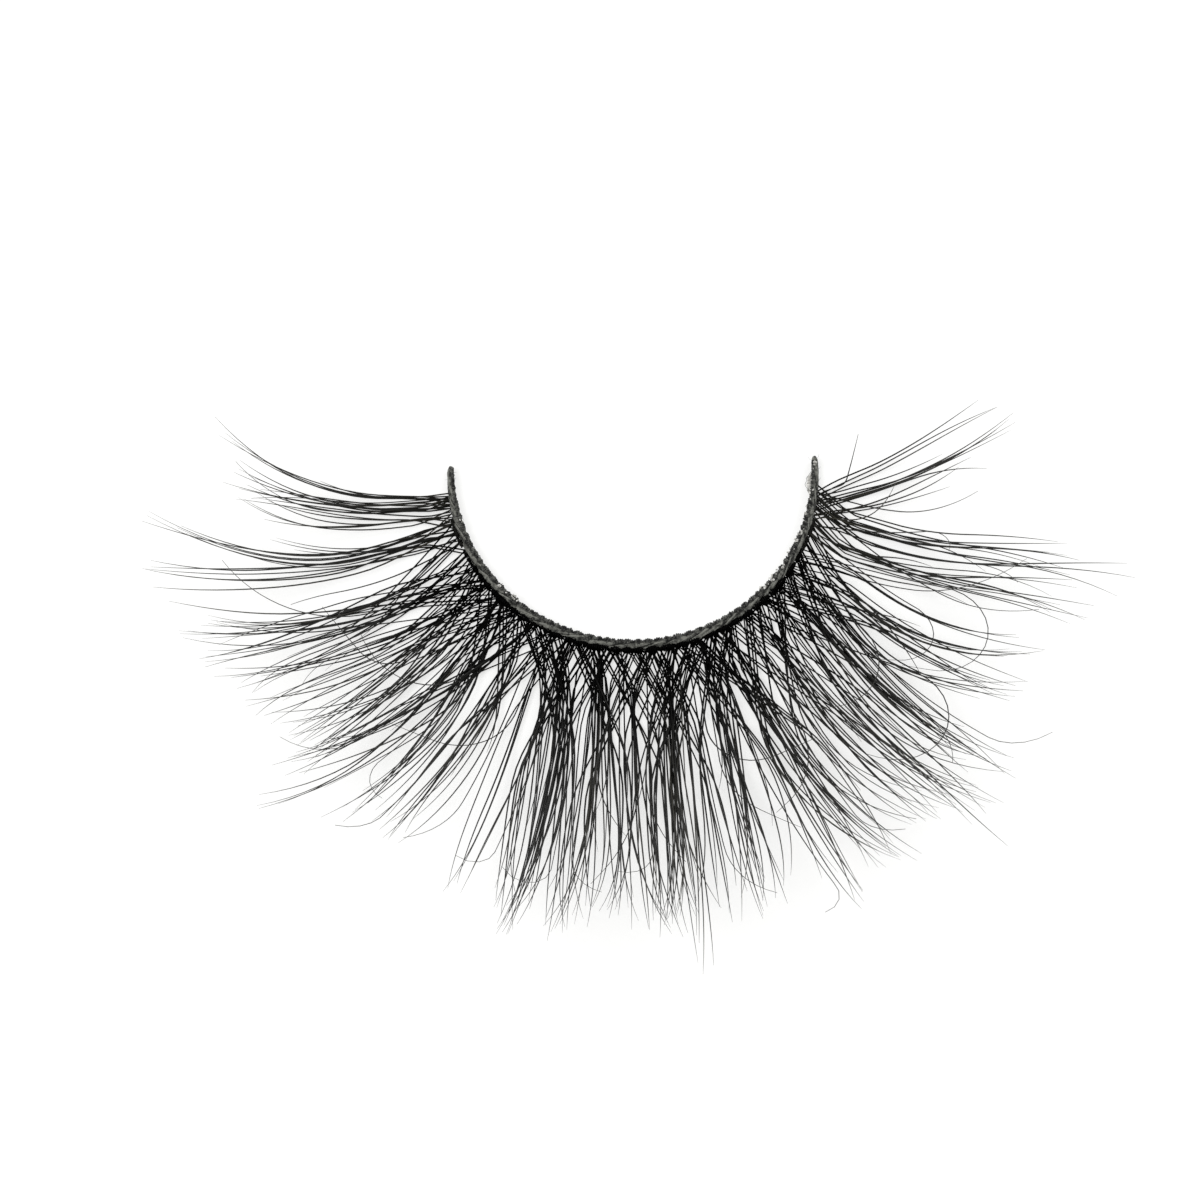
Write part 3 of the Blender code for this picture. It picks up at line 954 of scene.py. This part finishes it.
# Stray hairs
STRAY_STEPS = 28
STRAY_RADIUS = 0.044
STRAY_RADIUS_VARIES = (0.8, 1.1)
STRAY_THINNING = 0.7
STRAY_ROOT_HEIGHTS = (0.2, 0.45)
STRAY_BELLY_HEIGHTS = (0.3, 0.6)
STRAY_TONES = (0.0, 0.8)

# A row each: where it starts, how it leans from the band's normal, its length, where
# along it turns (from, to, as shares), by how many degrees, and its rise.
STRAY_COLUMNS = ("root_deg", "lean_deg", "length", "turn_from", "turn_to", "turn_deg", "rise")
STRAYS = {
    "outer_corner": (
        (-81.0, -4.0, 11.0, 0.60, 1.00, 25.0, 3.0),
        (-79.0, -3.0, 12.0, 0.55, 1.00, -45.0, 4.0),
    ),
    "outer_edge": (
        (-70.0, 2.0, 12.0, 0.50, 1.00, -25.0, 3.0),
        (-66.0, 6.0, 11.0, 0.70, 1.00, 20.0, 3.5),
    ),
    "outer_side": (
        (-58.0, 0.0, 15.5, 0.28, 1.00, -85.0, 1.6),
        (-50.0, 8.0, 12.5, 0.50, 0.75, -95.0, 2.0),
        (-50.0, -6.0, 14.0, 0.60, 1.00, 50.0, 5.0),
        (-45.0, 14.0, 15.0, 0.50, 1.00, -30.0, 5.0),
        (-42.0, 2.0, 17.0, 0.72, 1.00, -75.0, 4.0),
        (-38.0, 4.0, 17.0, 0.75, 1.00, 80.0, 5.0),
        (-30.0, -20.0, 12.0, 0.45, 1.00, -110.0, 3.0),
        (-32.0, 2.0, 19.0, 0.82, 1.00, -60.0, 5.0),
        (-29.0, 10.0, 18.0, 0.70, 1.00, -40.0, 5.5),
    ),
    "centre": (
        (-26.0, 6.0, 13.5, 0.40, 0.80, -85.0, 2.0),
        (-18.0, 2.0, 18.0, 0.84, 1.00, -110.0, 4.5),
        (-13.0, 5.0, 18.6, 0.80, 1.00, -150.0, 3.5),
        (-10.0, 4.0, 19.0, 0.75, 1.00, 60.0, 6.0),
        (-4.0, 12.0, 17.0, 0.35, 0.90, -38.0, 3.5),
        (4.0, -3.0, 18.0, 0.80, 1.00, -90.0, 6.0),
        (9.0, -16.0, 16.0, 0.40, 0.90, 34.0, 4.0),
        (16.0, -8.0, 20.0, 0.70, 1.00, 45.0, 6.5),
        (18.0, -10.0, 13.0, 0.42, 0.80, 100.0, 1.8),
        (20.0, 2.0, 22.0, 0.85, 1.00, -80.0, 6.5),
    ),
    "inner_side": (
        (21.0, -14.0, 15.5, 0.50, 0.80, 42.0, 3.5),
        (28.0, 0.0, 18.0, 0.50, 1.00, 30.0, 5.0),
        (34.0, -8.0, 15.0, 0.45, 0.90, -60.0, 3.0),
        (36.0, -14.0, 19.0, 0.80, 1.00, 60.0, 6.0),
        (38.0, 28.0, 20.0, 0.46, 0.95, -165.0, 2.4),
        (49.0, 14.0, 14.0, 0.28, 0.90, -140.0, 2.0),
        (50.0, -10.0, 17.0, 0.70, 1.00, -50.0, 5.0),
        (56.0, -16.0, 20.0, 0.80, 1.00, 70.0, 6.0),
        (60.0, 10.0, 13.0, 0.50, 1.00, 40.0, 4.0),
    ),
    "inner_edge": (
        (62.0, 12.0, 19.0, 0.42, 0.90, -165.0, 2.5),
        (70.0, -22.0, 15.0, 0.50, 0.90, -120.0, 4.0),
        (72.0, 10.0, 9.0, 0.70, 1.00, -110.0, 2.0),
        (73.0, -6.0, 13.0, 0.70, 1.00, -50.0, 4.0),
        (78.0, -30.0, 15.0, 0.60, 1.00, 30.0, 4.0),
    ),
    "inner_corner": (
        (82.0, 30.0, 4.3, 0.33, 0.45, 52.0, 1.2),
        (83.0, -10.0, 9.0, 0.50, 1.00, 35.0, 2.5),
    ),
}


def stray_line(rng, row):
    """A single hair that runs straight and then turns away or hooks round."""
    stray = dict(zip(STRAY_COLUMNS, row))
    t = np.linspace(0, 1, STRAY_STEPS + 1)
    turned = np.clip((t - stray["turn_from"]) / (stray["turn_to"] - stray["turn_from"]), 0, 1)
    heading = np.radians(stray["root_deg"] + stray["lean_deg"] + stray["turn_deg"] * turned)
    step = stray["length"] / STRAY_STEPS
    flat = np.stack([np.sin(heading), -np.cos(heading)], axis=-1) * step
    start = on_band(stray["root_deg"], ROOT_OUTWARD, 0.0)
    points = np.zeros((STRAY_STEPS + 1, 3))
    points[:, :2] = start[:2] + np.vstack([np.zeros(2), np.cumsum(flat[:-1], axis=0)])
    root_height = rng.uniform(*STRAY_ROOT_HEIGHTS)
    belly_height = rng.uniform(*STRAY_BELLY_HEIGHTS)
    points[:, 2] = hair_height(t, root_height, belly_height, stray["rise"])
    radius = STRAY_RADIUS * rng.uniform(*STRAY_RADIUS_VARIES) * (1 - STRAY_THINNING * t**2)
    return Line(points, radius, rng.uniform(*STRAY_TONES))


# The coil of thread round the hair roots: a section's own, a little past its clumps.
# It is the real thread, and also painted shade: it takes the hair's root colour all along, near
# black in the sides and centre, and is made wide to fill the shade beside the band
ROOT_COIL = {
    "outward": 0.29,
    "height": 0.34,
    "half_out": 0.13,
    "half_up": 0.20,
    "pitch": 0.115,
    "radius": 0.055,
    "group_turns": (3, 9),
}
ROOT_COIL_TO_DEG = 74.0
ROOT_COIL_PAST_DEG = 2.5


def root_coils(rng, rows):
    """Thread wound round the hair roots along one section, or none at the band's ends."""
    degrees = [dict(zip(CLUMP_COLUMNS, row))["root_deg"] for row in rows]
    first = max(min(degrees) - ROOT_COIL_PAST_DEG, -ROOT_COIL_TO_DEG)
    last = min(max(degrees) + ROOT_COIL_PAST_DEG, ROOT_COIL_TO_DEG)
    if first >= last:
        return []
    coil = coil_line(rng, first, last, ROOT_COIL)
    # The coil takes the hair's root colour all along: painted shade, near black, in the sides
    # and centre, painted light, lighter, at the corners and edges
    coil.tone = 0.0
    coil.end_look = 0.0
    return [coil]


# The corners and edges, whose hair gets the lit copy of the hair colour, painted light at the
# roots; the sides and centre get the shaded copy, painted shade
LIT_SECTIONS = ("outer_corner", "outer_edge", "inner_edge", "inner_corner")


def make_hair(rng):
    # A shaded copy of the hair colour for the sides and centre and a lit copy for the corners
    # and edges: painted shade and painted light
    shaded_hair = hair_material("lash_hair_fibre", SHADED_ROOT, SHADED_MIDDLE)
    lit_hair = hair_material("lash_hair_fibre_lit", LIT_ROOT, LIT_MIDDLE)
    pieces = []
    for section, rows in SECTIONS.items():
        lines = []
        for row in rows:
            lines += clump_lines(rng, row)
        lines += [stray_line(rng, row) for row in STRAYS[section]]
        lines += root_coils(rng, rows)
        hair = tubes(section + "_hair", lines, HAIR_SIDES)
        hair.data.materials.append(lit_hair if section in LIT_SECTIONS else shaded_hair)
        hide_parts(section + "_fringe")
        pieces.append(hair)
    return pieces


make_camera()
make_stage()
rng = np.random.default_rng(SEED)
pieces = make_band(rng)
pieces.append(make_knot_thread(rng))
pieces.append(make_glue(rng))
pieces += make_hair(rng)
for piece in pieces:
    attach(piece, "root")
